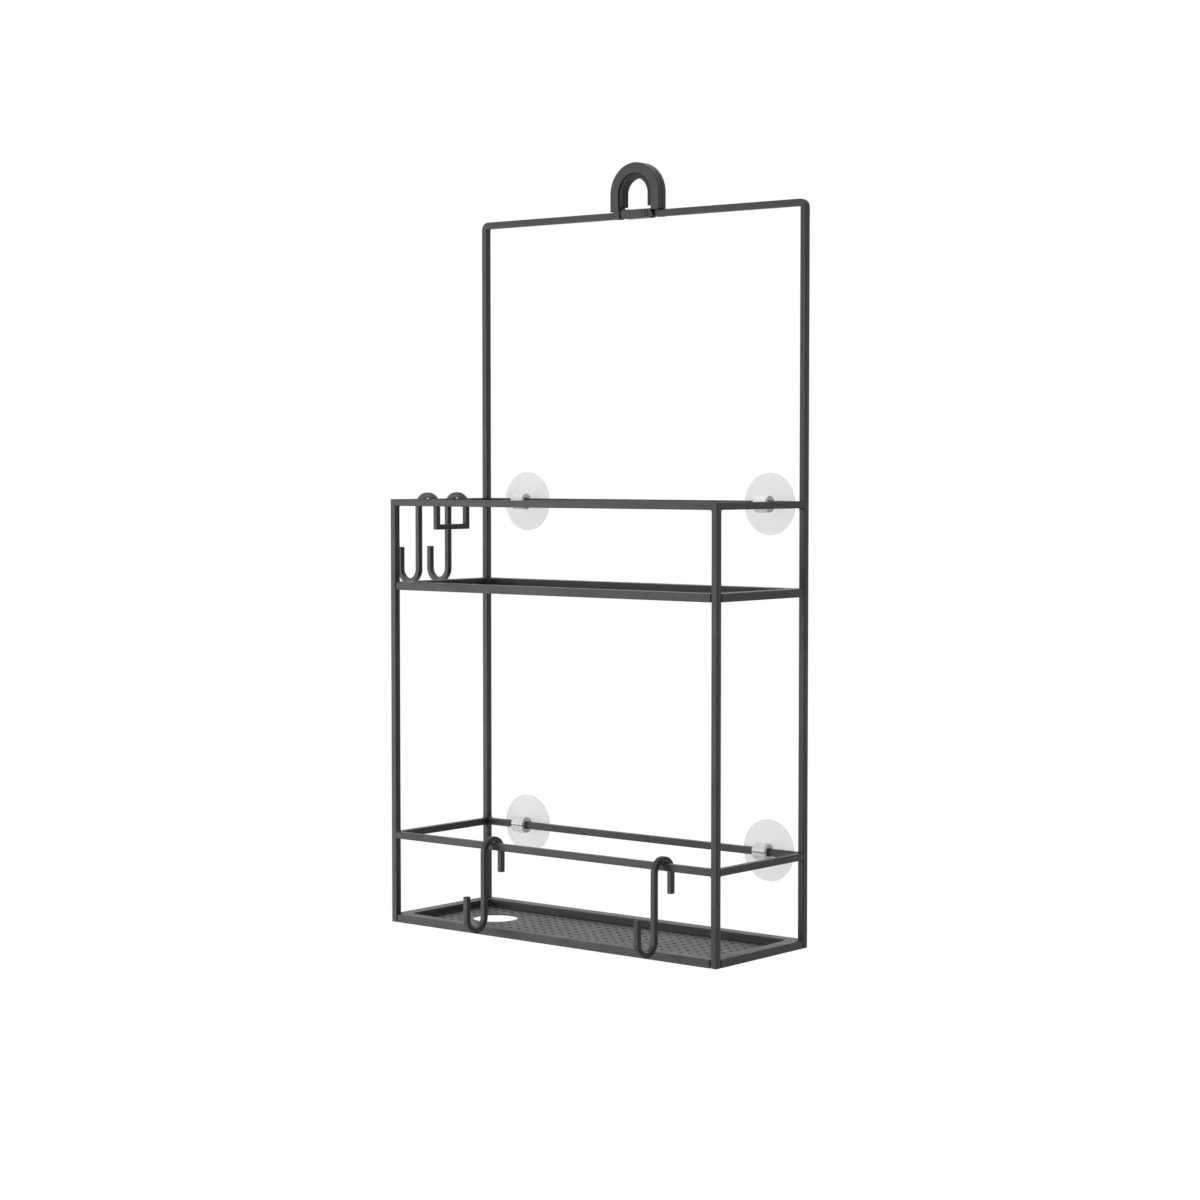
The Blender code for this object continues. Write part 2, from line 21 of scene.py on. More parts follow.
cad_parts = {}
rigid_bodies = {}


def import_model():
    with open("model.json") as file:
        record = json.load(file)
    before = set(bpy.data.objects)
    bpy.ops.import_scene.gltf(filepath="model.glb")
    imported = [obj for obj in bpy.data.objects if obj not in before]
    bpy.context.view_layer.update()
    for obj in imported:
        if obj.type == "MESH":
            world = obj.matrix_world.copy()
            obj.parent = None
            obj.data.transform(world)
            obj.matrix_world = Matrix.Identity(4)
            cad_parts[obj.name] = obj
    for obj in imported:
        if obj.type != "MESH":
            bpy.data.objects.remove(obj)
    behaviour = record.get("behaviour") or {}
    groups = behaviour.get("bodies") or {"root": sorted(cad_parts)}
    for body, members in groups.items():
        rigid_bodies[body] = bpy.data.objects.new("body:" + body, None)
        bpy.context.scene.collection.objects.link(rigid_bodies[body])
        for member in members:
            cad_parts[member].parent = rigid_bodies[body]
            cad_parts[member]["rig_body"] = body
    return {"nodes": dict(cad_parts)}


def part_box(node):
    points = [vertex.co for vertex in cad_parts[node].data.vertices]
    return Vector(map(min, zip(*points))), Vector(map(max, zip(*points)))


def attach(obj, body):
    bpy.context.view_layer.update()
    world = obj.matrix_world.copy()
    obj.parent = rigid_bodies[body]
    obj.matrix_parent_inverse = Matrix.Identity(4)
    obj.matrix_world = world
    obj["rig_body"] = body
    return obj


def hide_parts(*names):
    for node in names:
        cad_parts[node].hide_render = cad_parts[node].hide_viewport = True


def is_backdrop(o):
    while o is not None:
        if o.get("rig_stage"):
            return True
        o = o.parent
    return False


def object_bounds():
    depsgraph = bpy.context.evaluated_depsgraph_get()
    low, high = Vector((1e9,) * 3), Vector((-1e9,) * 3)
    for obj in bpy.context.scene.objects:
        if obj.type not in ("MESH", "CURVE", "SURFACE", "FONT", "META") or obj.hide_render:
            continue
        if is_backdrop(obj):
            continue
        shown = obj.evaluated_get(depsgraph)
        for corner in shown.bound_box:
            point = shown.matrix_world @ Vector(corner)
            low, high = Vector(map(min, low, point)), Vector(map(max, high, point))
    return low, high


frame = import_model()
nodes = frame["nodes"]
design_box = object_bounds()
MM = 0.001
GAP = 0.3 * MM                                 # left between neighbouring pieces
PAST = 1.0 * MM                                # how far a cutting shape runs past a face
print("pieces in the design:", len(nodes))

# %% [markdown]
# ## The camera
#
# The caddy is seen from its right, with a long lens from about two metres away. A long lens keeps
# the upright rods nearly parallel. The camera could also aim with a Track To constraint, but a
# turn about X and a turn about Z say plainly what it does: it looks three degrees down.

# %% Set up the camera
camera_data = bpy.data.cameras.new("camera")
camera_data.lens = 80.45
camera_data.sensor_width = 36
camera = bpy.data.objects.new("camera", camera_data)
camera.location = (1.3823, -1.7316, -0.2227)
camera.rotation_euler = (math.pi / 2 - 0.0501, 0, 0.6878)
bpy.context.scene.collection.objects.link(camera)
bpy.context.scene.camera = camera
print("camera at", [round(x, 2) for x in camera.location])

# %% [markdown]
# ## The studio
#
# Black metal is hard to light, because it shows almost nothing but what it reflects. A white
# surrounding gives every face something pale to reflect. It looks the same all round, but gives
# more light from the left, and one big soft light at the front left helps it. Together they lift
# the front faces above the right faces, which is what makes square rod look square. A weaker
# light overhead picks out the tops of the rails. The floor lies well below, because the caddy
# hangs and doesn't stand.

# %% Build the studio
FLOOR_Z = -1.5
scene = bpy.context.scene
scene.view_settings.view_transform = "Standard"


def soft_light(name, place, aim, size, power):
    """A square soft box that faces a point."""
    data = bpy.data.lights.new(name, "AREA")
    data.shape = "SQUARE"
    data.size = size
    data.energy = power
    light = bpy.data.objects.new(name, data)
    light.location = place
    light.rotation_euler = (Vector(aim) - Vector(place)).to_track_quat("-Z", "Y").to_euler()
    scene.collection.objects.link(light)
    return light


def white_surround(dimmest, brightest, towards):
    """A world that looks plain white, and gives more light from one side than from the other."""
    world = bpy.data.worlds.new("studio")
    world.use_nodes = True
    tree = world.node_tree
    light = tree.nodes["Background"]
    light.inputs["Color"].default_value = (1.0, 1.0, 1.0, 1.0)
    direction = tree.nodes.new("ShaderNodeTexCoord")
    facing = tree.nodes.new("ShaderNodeVectorMath")
    facing.operation = "DOT_PRODUCT"
    facing.inputs[1].default_value = Vector(towards).normalized()
    strength = tree.nodes.new("ShaderNodeMapRange")
    strength.inputs["From Min"].default_value = -1.0
    strength.inputs["To Min"].default_value = dimmest
    strength.inputs["To Max"].default_value = brightest
    backdrop = tree.nodes.new("ShaderNodeBackground")
    backdrop.inputs["Color"].default_value = (1.0, 1.0, 1.0, 1.0)
    path = tree.nodes.new("ShaderNodeLightPath")
    choice = tree.nodes.new("ShaderNodeMixShader")
    tree.links.new(direction.outputs["Generated"], facing.inputs[0])
    tree.links.new(facing.outputs["Value"], strength.inputs["Value"])
    tree.links.new(strength.outputs["Result"], light.inputs["Strength"])
    tree.links.new(path.outputs["Is Camera Ray"], choice.inputs["Fac"])
    tree.links.new(light.outputs["Background"], choice.inputs[1])
    tree.links.new(backdrop.outputs["Background"], choice.inputs[2])
    tree.links.new(choice.outputs["Shader"], tree.nodes["World Output"].inputs["Surface"])
    return world


scene.world = white_surround(0.35, 1.5, (-0.9, 0.43, 0.0))
middle = (design_box[0] + design_box[1]) / 2
soft_light("key", (-1.75, -1.6, -0.45), middle, 1.1, 20)
soft_light("top", (0.0, -0.3, 1.9), middle, 1.2, 10)

floor_mesh = bpy.data.meshes.new("floor")
reach = 1.5
corners = [(-reach, -reach), (reach, -reach), (reach, reach), (-reach, reach)]
floor_mesh.from_pydata([(x, y, FLOOR_Z) for x, y in corners], [], [(0, 1, 2, 3)])
floor = bpy.data.objects.new("floor", floor_mesh)
scene.collection.objects.link(floor)
pale = bpy.data.materials.new("pale_floor")
pale.use_nodes = True
pale.node_tree.nodes["Principled BSDF"].inputs["Base Color"].default_value = (0.86, 0.86, 0.86, 1)
pale.node_tree.nodes["Principled BSDF"].inputs["Roughness"].default_value = 0.9
floor_mesh.materials.append(pale)
floor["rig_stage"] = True

# %% [markdown]
# ## Finishes
#
# Powder coat, moulded plastic and rubber all have the same kind of surface: a fine, even grain,
# over broad and very faint patches where the finish is a little duller. That effect is one node
# group, used by each of them with its own values. The group could hold the whole shader, but the
# shader stays in each material, where its own colour and gloss can be read at a glance.
#
# The grain follows the object's own coordinates, in metres, so a grain size can be given as a
# length: a texture scale of 1 / 0.0004 makes bumps about 0.4 mm apart.

# %% Make the grain that all the dull finishes share
def add_node(tree, kind, at, **values):
    """Add a shader node and set its inputs by name."""
    made = tree.nodes.new(kind)
    made.location = at
    for name, value in values.items():
        made.inputs[name.replace("_", " ")].default_value = value
    return made


def make_grain_group():
    """Fine grain and broad duller patches: the surface of powder coat, plastic and rubber."""
    group = bpy.data.node_groups.new("fine_grain", "ShaderNodeTree")
    sockets = group.interface
    sockets.new_socket("Grain Scale", in_out="INPUT", socket_type="NodeSocketFloat")
    sockets.new_socket("Patch Scale", in_out="INPUT", socket_type="NodeSocketFloat")
    sockets.new_socket("Dullest", in_out="INPUT", socket_type="NodeSocketFloat")
    sockets.new_socket("Glossiest", in_out="INPUT", socket_type="NodeSocketFloat")
    sockets.new_socket("Dark Tone", in_out="INPUT", socket_type="NodeSocketColor")
    sockets.new_socket("Light Tone", in_out="INPUT", socket_type="NodeSocketColor")
    sockets.new_socket("Color", in_out="OUTPUT", socket_type="NodeSocketColor")
    sockets.new_socket("Roughness", in_out="OUTPUT", socket_type="NodeSocketFloat")
    sockets.new_socket("Height", in_out="OUTPUT", socket_type="NodeSocketFloat")
    inputs = add_node(group, "NodeGroupInput", (-900, 0))
    outputs = add_node(group, "NodeGroupOutput", (500, 0))
    place = add_node(group, "ShaderNodeTexCoord", (-900, -300))

    grain = add_node(group, "ShaderNodeTexNoise", (-600, -300), Detail=2.0, Roughness=0.55)
    patches = add_node(group, "ShaderNodeTexNoise", (-600, 100), Detail=3.0, Roughness=0.6)
    group.links.new(place.outputs["Object"], grain.inputs["Vector"])
    group.links.new(place.outputs["Object"], patches.inputs["Vector"])
    group.links.new(inputs.outputs["Grain Scale"], grain.inputs["Scale"])
    group.links.new(inputs.outputs["Patch Scale"], patches.inputs["Scale"])

    roughness = add_node(group, "ShaderNodeMapRange", (-250, 150))
    group.links.new(patches.outputs["Fac"], roughness.inputs["Value"])
    group.links.new(inputs.outputs["Glossiest"], roughness.inputs["To Min"])
    group.links.new(inputs.outputs["Dullest"], roughness.inputs["To Max"])

    tone = add_node(group, "ShaderNodeMix", (-250, -150))
    tone.data_type = "RGBA"
    group.links.new(grain.outputs["Fac"], tone.inputs["Factor"])
    group.links.new(inputs.outputs["Dark Tone"], tone.inputs["A"])
    group.links.new(inputs.outputs["Light Tone"], tone.inputs["B"])

    group.links.new(tone.outputs["Result"], outputs.inputs["Color"])
    group.links.new(roughness.outputs["Result"], outputs.inputs["Roughness"])
    group.links.new(grain.outputs["Fac"], outputs.inputs["Height"])
    return group


fine_grain = make_grain_group()
print("group:", fine_grain.name, [item.name for item in fine_grain.interface.items_tree])

# %% [markdown]
# A dull finish is then five numbers and two tones. The bump is kept far smaller than its spacing,
# a few hundredths of a millimetre, or the metal would look sandy. The light and dark tones are
# close together: what gives powder coat its look is gloss that breaks up, not colour.

# %% Make the powder coat, plastic and rubber
finishes = {}


def dull_finish(slot, tones, roughness, grain, patch, relief):
    """A grained material. grain and patch are sizes in metres, relief is the bump's height."""
    material = bpy.data.materials.new(slot)
    material.use_nodes = True
    tree = material.node_tree
    shader = tree.nodes["Principled BSDF"]
    surface = add_node(tree, "ShaderNodeGroup", (-600, 100))
    surface.node_tree = fine_grain
    surface.inputs["Grain Scale"].default_value = 1 / grain
    surface.inputs["Patch Scale"].default_value = 1 / patch
    surface.inputs["Glossiest"].default_value = roughness[0]
    surface.inputs["Dullest"].default_value = roughness[1]
    surface.inputs["Dark Tone"].default_value = (*tones[0], 1)
    surface.inputs["Light Tone"].default_value = (*tones[1], 1)
    bump = add_node(tree, "ShaderNodeBump", (-250, -200), Strength=1.0, Distance=relief)
    tree.links.new(surface.outputs["Height"], bump.inputs["Height"])
    tree.links.new(surface.outputs["Color"], shader.inputs["Base Color"])
    tree.links.new(surface.outputs["Roughness"], shader.inputs["Roughness"])
    tree.links.new(bump.outputs["Normal"], shader.inputs["Normal"])
    finishes[slot] = material
    return material


COAT_DARK = (0.011, 0.011, 0.012)
COAT_LIGHT = (0.019, 0.019, 0.020)
PLASTIC_DARK = (0.006, 0.006, 0.006)
PLASTIC_LIGHT = (0.010, 0.010, 0.010)
RUBBER_DARK = (0.008, 0.008, 0.008)
RUBBER_LIGHT = (0.014, 0.014, 0.014)
coat_tones, plastic_tones = (COAT_DARK, COAT_LIGHT), (PLASTIC_DARK, PLASTIC_LIGHT)
rubber_tones = (RUBBER_DARK, RUBBER_LIGHT)
dull_finish("powder_coat", coat_tones, (0.42, 0.62), 0.4 * MM, 25 * MM, 0.03 * MM)
dull_finish("black_plastic", plastic_tones, (0.35, 0.55), 0.25 * MM, 12 * MM, 0.015 * MM)
dull_finish("rubber", rubber_tones, (0.65, 0.85), 0.5 * MM, 8 * MM, 0.02 * MM)
print("dull finishes:", list(finishes))

# %% [markdown]
# The pale pieces and the screws need other shaders. The cups are soft vinyl: it lets nearly all
# the light through but blurs it, like frosted glass, and it is faintly grey. The clips are a milky
# plastic that sends most of the light back, so the dark rail hardly shows through them. One
# function makes both, and its clarity says how much of the light goes through. The screws are
# turned steel with a fine streaky shine.

# %% Make the clear plastic, the vinyl and the steel
def clear_finish(slot, colour, haze, patch, clarity):
    """A see-through material whose haze varies a little from place to place."""
    material = bpy.data.materials.new(slot)
    material.use_nodes = True
    tree = material.node_tree
    shader = tree.nodes["Principled BSDF"]
    shader.inputs["Base Color"].default_value = (*colour, 1)
    shader.inputs["Transmission Weight"].default_value = clarity
    shader.inputs["IOR"].default_value = 1.45
    place = add_node(tree, "ShaderNodeTexCoord", (-900, 0))
    cloud = add_node(tree, "ShaderNodeTexNoise", (-650, 0), Scale=1 / patch, Detail=3.0)
    spread = add_node(tree, "ShaderNodeMapRange", (-350, 0), To_Min=haze[0], To_Max=haze[1])
    tree.links.new(place.outputs["Object"], cloud.inputs["Vector"])
    tree.links.new(cloud.outputs["Fac"], spread.inputs["Value"])
    tree.links.new(spread.outputs["Result"], shader.inputs["Roughness"])
    finishes[slot] = material
    return material


def steel_finish(slot):
    """Turned steel: bright metal with a fine streaky roughness."""
    material = bpy.data.materials.new(slot)
    material.use_nodes = True
    tree = material.node_tree
    shader = tree.nodes["Principled BSDF"]
    shader.inputs["Base Color"].default_value = (0.56, 0.56, 0.57, 1)
    shader.inputs["Metallic"].default_value = 1.0
    place = add_node(tree, "ShaderNodeTexCoord", (-900, 0))
    streaks = add_node(tree, "ShaderNodeTexNoise", (-650, 0), Scale=4000.0, Detail=2.0)
    spread = add_node(tree, "ShaderNodeMapRange", (-350, 0), To_Min=0.22, To_Max=0.45)
    tree.links.new(place.outputs["Object"], streaks.inputs["Vector"])
    tree.links.new(streaks.outputs["Fac"], spread.inputs["Value"])
    tree.links.new(spread.outputs["Result"], shader.inputs["Roughness"])
    finishes[slot] = material
    return material


clear_finish("clear_plastic", (0.96, 0.96, 0.95), (0.20, 0.35), 6 * MM, 0.25)
clear_finish("clear_vinyl", (0.64, 0.635, 0.63), (0.45, 0.55), 15 * MM, 0.9)
steel_finish("steel")
print("finishes:", sorted(finishes))

# %% [markdown]
# ## Making a finished piece
#
# Each finished piece stands for one piece of the design: it hides it, moves with the same body
# and takes the same slot. Meshes are built with bmesh, because rods, pans and mouldings are all
# defined by a section and a path, and that is a few lines of arithmetic.
#
# Sharp edges never look real. Two ways are used to soften them. Swept pieces carry rounded
# corners in their section. Mouldings get a Bevel modifier. In both cases a Weighted Normal
# modifier keeps the broad faces flat, so that light rolls off only at the edges.

# %% Turn a mesh into a finished piece
def new_object(name, mesh_data):
    """Turn a bmesh into an object of the scene, with every face looking outwards."""
    bmesh.ops.recalc_face_normals(mesh_data, faces=mesh_data.faces)
    mesh = bpy.data.meshes.new(name)
    mesh_data.to_mesh(mesh)
    mesh_data.free()
    made = bpy.data.objects.new(name, mesh)
    scene.collection.objects.link(made)
    return made


def smooth_edges(piece, bevel=0.0, steps=3, angle=35):
    """Shade smooth, round the sharp edges by a width and keep flat faces flat."""
    piece.data.shade_smooth()
    if bevel:
        rounding = piece.modifiers.new("rounded edges", "BEVEL")
        rounding.width = bevel
        rounding.segments = steps
        rounding.limit_method = "ANGLE"
        rounding.angle_limit = math.radians(angle)
    else:
        piece.data.set_sharp_from_angle(angle=math.radians(angle))
    flats = piece.modifiers.new("flat faces", "WEIGHTED_NORMAL")
    flats.keep_sharp = True


def finish(piece, node, slot):
    """Make a piece the finished form of one piece of the design."""
    piece.data.materials.clear()
    piece.data.materials.append(finishes[slot])
    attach(piece, nodes[node]["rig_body"])
    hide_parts(node)
    return piece


def boolean(piece, tool_mesh, operation):
    """Cut a mesh out of a piece, or add it to the piece, and keep the result."""
    tool = new_object("tool", tool_mesh)
    modifier = piece.modifiers.new("shape", "BOOLEAN")
    modifier.operation = operation
    modifier.solver = "EXACT"
    modifier.object = tool
    evaluated = piece.evaluated_get(bpy.context.evaluated_depsgraph_get())
    shaped = bpy.data.meshes.new_from_object(evaluated)
    piece.modifiers.clear()
    piece.data = shaped
    bpy.data.objects.remove(tool)


def arc(centre, radius, start, end, steps):
    """Points along an arc, between two angles in degrees."""
    points = []
    for step in range(steps + 1):
        angle = math.radians(start + (end - start) * step / steps)
        points.append((centre[0] + radius * math.cos(angle), centre[1] + radius * math.sin(angle)))
    return points


def middle(node, axis):
    """The middle of a piece of the design along one axis."""
    low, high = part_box(node)
    return (getattr(low, axis) + getattr(high, axis)) / 2


# %% [markdown]
# ## Square rod
#
# All the frame and all the hooks are bent from square rod, so one sweep makes them all. A curve
# object with a square bevel would do, but it turns its section at bends in its own way and its
# corners stay sharp. This sweep carries a square with rounded corners along a list of points and
# tilts each ring halfway into the turn, as a mitre does. The last ring at each end is a little
# smaller, which takes the edge off the cut end.

# %% Sweep a rounded square along a route
def rounded_square(side, radius, steps=3):
    """The rod's section, round its middle."""
    half = side / 2 - radius
    section = []
    for x_sign, y_sign, start in ((1, 1, 0), (-1, 1, 90), (-1, -1, 180), (1, -1, 270)):
        section += arc((x_sign * half, y_sign * half), radius, start, start + 90, steps)
    return section


def sweep_rod(route, side, radius, across, end_edge=0.3 * MM):
    """Carry the section along the route. across is one of its directions at the start."""
    route = [Vector(point) for point in route]
    start_run = (route[1] - route[0]).normalized()
    end_run = (route[-1] - route[-2]).normalized()
    stations = [route[0], route[0] + start_run * end_edge, *route[1:-1]]
    stations += [route[-1] - end_run * end_edge, route[-1]]
    shrink = 1 - 2 * end_edge / side
    sizes = [shrink] + [1.0] * (len(stations) - 2) + [shrink]
    runs = [(after - before).normalized() for before, after in zip(stations, stations[1:])]

    made = bmesh.new()
    first = Vector(across)
    rings = []
    for index, (point, size) in enumerate(zip(stations, sizes)):
        before = runs[max(index - 1, 0)]
        after = runs[min(index, len(runs) - 1)]
        second = before.cross(first)
        mitre = (before + after).normalized()
        ring = []
        for u, v in rounded_square(side, radius):
            offset = (first * u + second * v) * size
            slide = -offset.dot(mitre) / before.dot(mitre)
            ring.append(made.verts.new(point + offset + before * slide))
        rings.append(ring)
        first = before.rotation_difference(after) @ first
    for ring, following in zip(rings, rings[1:]):
        for corner in range(len(ring)):
            beside = (corner + 1) % len(ring)
            made.faces.new((ring[corner], ring[beside], following[beside], following[corner]))
    made.faces.new(rings[0])
    made.faces.new(rings[-1])
    return made


print("points in the rod's section:", len(rounded_square(5.6 * MM, 0.6 * MM)))

# %% [markdown]
# ## The frame
#
# The hoop's two rods are the rear uprights as well: each runs up from the lower tray, turns
# inwards with a tight bend and stops at the grip. The front posts and the eight rails are straight
# lengths. The rails are made about a millimetre longer than the gap between the posts, so that
# their ends disappear inside the posts, as they do in a welded joint.

# %% Bend the hoop and cut the straight rods
ROD_CORNER = 0.6 * MM
WELD_DEPTH = 1.2 * MM
HOOP_BEND = 3.8 * MM
BEND_STEPS = 10

hoop_low, hoop_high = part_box("hoop_right")
ROD = hoop_high.y - hoop_low.y


def hoop_rod(node, side):
    """An upright, the bend at its top and the run inwards to the grip."""
    low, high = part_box(node)
    upright_x = high.x - ROD / 2 if side > 0 else low.x + ROD / 2
    inner_x = low.x if side > 0 else high.x
    top = high.z - ROD / 2
    centre = (upright_x - side * HOOP_BEND, top - HOOP_BEND)
    start = 0 if side > 0 else 180
    bend = [(x, 0, z) for x, z in arc(centre, HOOP_BEND, start, 90, BEND_STEPS)]
    route = [(upright_x, 0, low.z), *bend, (inner_x, 0, top)]
    piece = new_object(f"{node}_rod", sweep_rod(route, ROD, ROD_CORNER, (0, 1, 0)))
    smooth_edges(piece)
    return finish(piece, node, "powder_coat")


def straight_rod(node, bury):
    """A straight length along its longest side, made longer at both ends by bury."""
    low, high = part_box(node)
    size = high - low
    along = max(range(3), key=lambda axis: size[axis])
    middle_line = (low + high) / 2
    start = middle_line.copy()
    end = middle_line.copy()
    start[along] = low[along] - bury
    end[along] = high[along] + bury
    across = Vector((0, 0, 0))
    across[(along + 1) % 3] = 1
    piece = new_object(f"{node}_rod", sweep_rod([start, end], ROD, ROD_CORNER, across))
    smooth_edges(piece)
    return finish(piece, node, "powder_coat")


hoop_rod("hoop_left", -1)
hoop_rod("hoop_right", 1)
for post in ("front_post_left", "front_post_right"):
    straight_rod(post, 0.0)
places = ("front", "back", "left", "right")
rails = [f"{ring}_rail_{place}" for ring in ("top", "guard") for place in places]
for rail in rails:
    straight_rod(rail, WELD_DEPTH)
print(f"rod {ROD / MM:.1f} mm square, rails: {len(rails)}")

# %% [markdown]
# ## Weld fillets
#
# Under the powder coat, a small fillet of weld metal softens the inner corner where each rail
# meets a post. The outer faces are ground flush before coating, so the fillets sit only on the
# inside and underneath. Each one is a short strip with a hollow face. They are joined in one
# piece, because they are part of the frame and never come off.

# %% Lay the weld fillets
FILLET = 1.3 * MM
FILLET_SUNK = 0.3 * MM
FILLET_STEPS = 5


def fillet_strip(made, corner, out_a, out_b, along, length, size):
    """A strip in the corner between two faces, running along one axis from its middle."""
    section = [(-FILLET_SUNK, -FILLET_SUNK), (size, -FILLET_SUNK)]
    section += arc((size, size), size, 270, 180, FILLET_STEPS)
    section.append((-FILLET_SUNK, size))
    ends = []
    for place in (-length / 2, length / 2):
        spots = [corner + out_a * x + out_b * y + along * place for x, y in section]
        ends.append([made.verts.new(spot) for spot in spots])
    count = len(section)
    for index in range(count):
        beside = (index + 1) % count
        made.faces.new((ends[0][index], ends[0][beside], ends[1][beside], ends[1][index]))
    made.faces.new(ends[0])
    made.faces.new(ends[1])


welds = bmesh.new()
frame_middle_y = (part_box("top_rail_front")[0].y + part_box("top_rail_back")[1].y) / 2
up = Vector((0, 0, 1))
width = ROD - 2 * ROD_CORNER
strips = 0
for rail in rails:
    low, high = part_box(rail)
    runs_in_x = rail.endswith(("front", "back"))
    centre = (low + high) / 2
    for end_sign in (-1, 1):
        if runs_in_x:
            post_face = high.x if end_sign > 0 else low.x
            back_along = Vector((-end_sign, 0, 0))
            inward = Vector((0, 1 if centre.y < frame_middle_y else -1, 0))
            spot = Vector((post_face, centre.y, centre.z))
        else:
            post_face = high.y if end_sign > 0 else low.y
            back_along = Vector((0, -end_sign, 0))
            inward = Vector((1 if centre.x < 0 else -1, 0, 0))
            spot = Vector((centre.x, post_face, centre.z))
        fillet_strip(welds, spot - up * ROD / 2, back_along, -up, inward, width, FILLET)
        strips += 1
        if rail.startswith("guard"):
            fillet_strip(welds, spot + up * ROD / 2, back_along, up, inward, width, FILLET)
            strips += 1
weld_piece = new_object("weld_fillets", welds)
smooth_edges(weld_piece)
weld_piece.data.materials.append(finishes["powder_coat"])
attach(weld_piece, "frame")
print("weld strips:", strips)

# %% [markdown]
# ## The trays
#
# A tray is one pressing. Its rim stands up, folds flat to make a border, drops again as the wall
# of a shallow recess and turns into the floor. The corners of the outer edge are cut away for the
# posts. That is a stack of loops: notched rectangles outside, rounded ones inside, with the same
# number of points, so that each loop joins the next with plain quads.
#
# The floor then gets its holes with one Boolean. The holes stand on a square grid that keeps clear
# of the big bottle hole. A bump or an alpha pattern would be lighter, but water has to run
# through these holes, and light does too.

# %% Press the two trays
SHEET = 0.9 * MM
BORDER = 11.5 * MM
RECESS_CORNER = 6.0 * MM
POST_GAP = 1.0 * MM
FOLD = 0.8 * MM
CORNER_STEPS = 8
HOLE_PITCH = 9.34 * MM
HOLE_RADIUS = 1.75 * MM
HOLE_COLUMNS = 34
HOLE_ROWS = 10
HOLE_SIDES = 14
BOTTLE_HOLE_RADIUS = 19 * MM
BOTTLE_HOLE_X = -110.6 * MM
BOTTLE_HOLE_BACK = 3.9 * MM
BOTTLE_HOLE_SIDES = 64
HOLE_CLEARANCE = 23 * MM


def rounded_loop(half_x, half_y, inset, corner):
    """A rectangle with round corners, nine points to each corner."""
    loop = []
    for x_sign, y_sign, start in ((1, 1, 0), (-1, 1, 90), (-1, -1, 180), (1, -1, 270)):
        centre = (x_sign * (half_x - inset - corner), y_sign * (half_y - inset - corner))
        loop += arc(centre, corner, start, start + 90, CORNER_STEPS)
    return loop


def notched_loop(half_x, half_y, inset):
    """A rectangle with a square notch for each post, nine points to each notch."""
    notch = ROD + POST_GAP + inset
    loop = []
    for turn in range(4):
        x_sign, y_sign = ((1, 1), (-1, 1), (-1, -1), (1, -1))[turn]
        on_side = Vector((x_sign * (half_x - inset), y_sign * (half_y - notch)))
        deep = Vector((x_sign * (half_x - notch), y_sign * (half_y - notch)))
        on_end = Vector((x_sign * (half_x - notch), y_sign * (half_y - inset)))
        first, last = (on_side, on_end) if turn % 2 == 0 else (on_end, on_side)
        half_steps = CORNER_STEPS // 2
        loop += [tuple(first.lerp(deep, step / half_steps)) for step in range(half_steps)]
        loop += [tuple(deep.lerp(last, step / half_steps)) for step in range(half_steps + 1)]
    return loop


def pan_mesh(low, high):
    """The pressing without its holes, from the outer edge over the rim to the floor."""
    half_x = (high.x - low.x) / 2
    half_y = (high.y - low.y) / 2
    centre_y = (high.y + low.y) / 2
    floor_top = low.z + SHEET
    soft = FOLD * 0.3

    def notched(inset, z):
        return [(x, centre_y + y, z) for x, y in notched_loop(half_x, half_y, inset)]

    def rounded(inset, z):
        corner = RECESS_CORNER + BORDER - inset
        return [(x, centre_y + y, z) for x, y in rounded_loop(half_x, half_y, inset, corner)]

    loops = [
        rounded(BORDER + FOLD, low.z),                      # underside of the floor
        rounded(BORDER + soft - SHEET / 2, low.z + soft / 2),
        rounded(BORDER - SHEET, low.z + FOLD),              # channel side of the recess wall
        rounded(BORDER - SHEET, high.z - SHEET),
        notched(SHEET, high.z - SHEET),                     # inside of the outer skirt
        notched(SHEET, low.z + 0.1 * MM),
        notched(SHEET * 0.7, low.z),
        notched(SHEET * 0.3, low.z),
        notched(0.0, low.z + 0.2 * MM),                     # outer face of the skirt
        notched(0.0, high.z - FOLD),
        notched(soft, high.z - soft),
        notched(FOLD, high.z),                              # border
        rounded(BORDER - FOLD, high.z),
        rounded(BORDER - soft, high.z - soft),
        rounded(BORDER, high.z - FOLD),                     # recess wall
        rounded(BORDER, floor_top + FOLD),
        rounded(BORDER + soft, floor_top + soft),
        rounded(BORDER + FOLD, floor_top),                  # top of the floor
    ]
    made = bmesh.new()
    rings = [[made.verts.new(point) for point in loop] for loop in loops]
    for ring, following in zip(rings, rings[1:]):
        for index in range(len(ring)):
            beside = (index + 1) % len(ring)
            made.faces.new((ring[index], ring[beside], following[beside], following[index]))
    made.faces.new(rings[0])
    made.faces.new(rings[-1])
    return made


def upright_cylinder(made, x, y, low_z, high_z, radius, sides):
    """Add a closed upright cylinder to a bmesh."""
    place = Matrix.Translation((x, y, (low_z + high_z) / 2))
    bmesh.ops.create_cone(made, cap_ends=True, segments=sides, radius1=radius, radius2=radius,
                          depth=high_z - low_z, matrix=place)


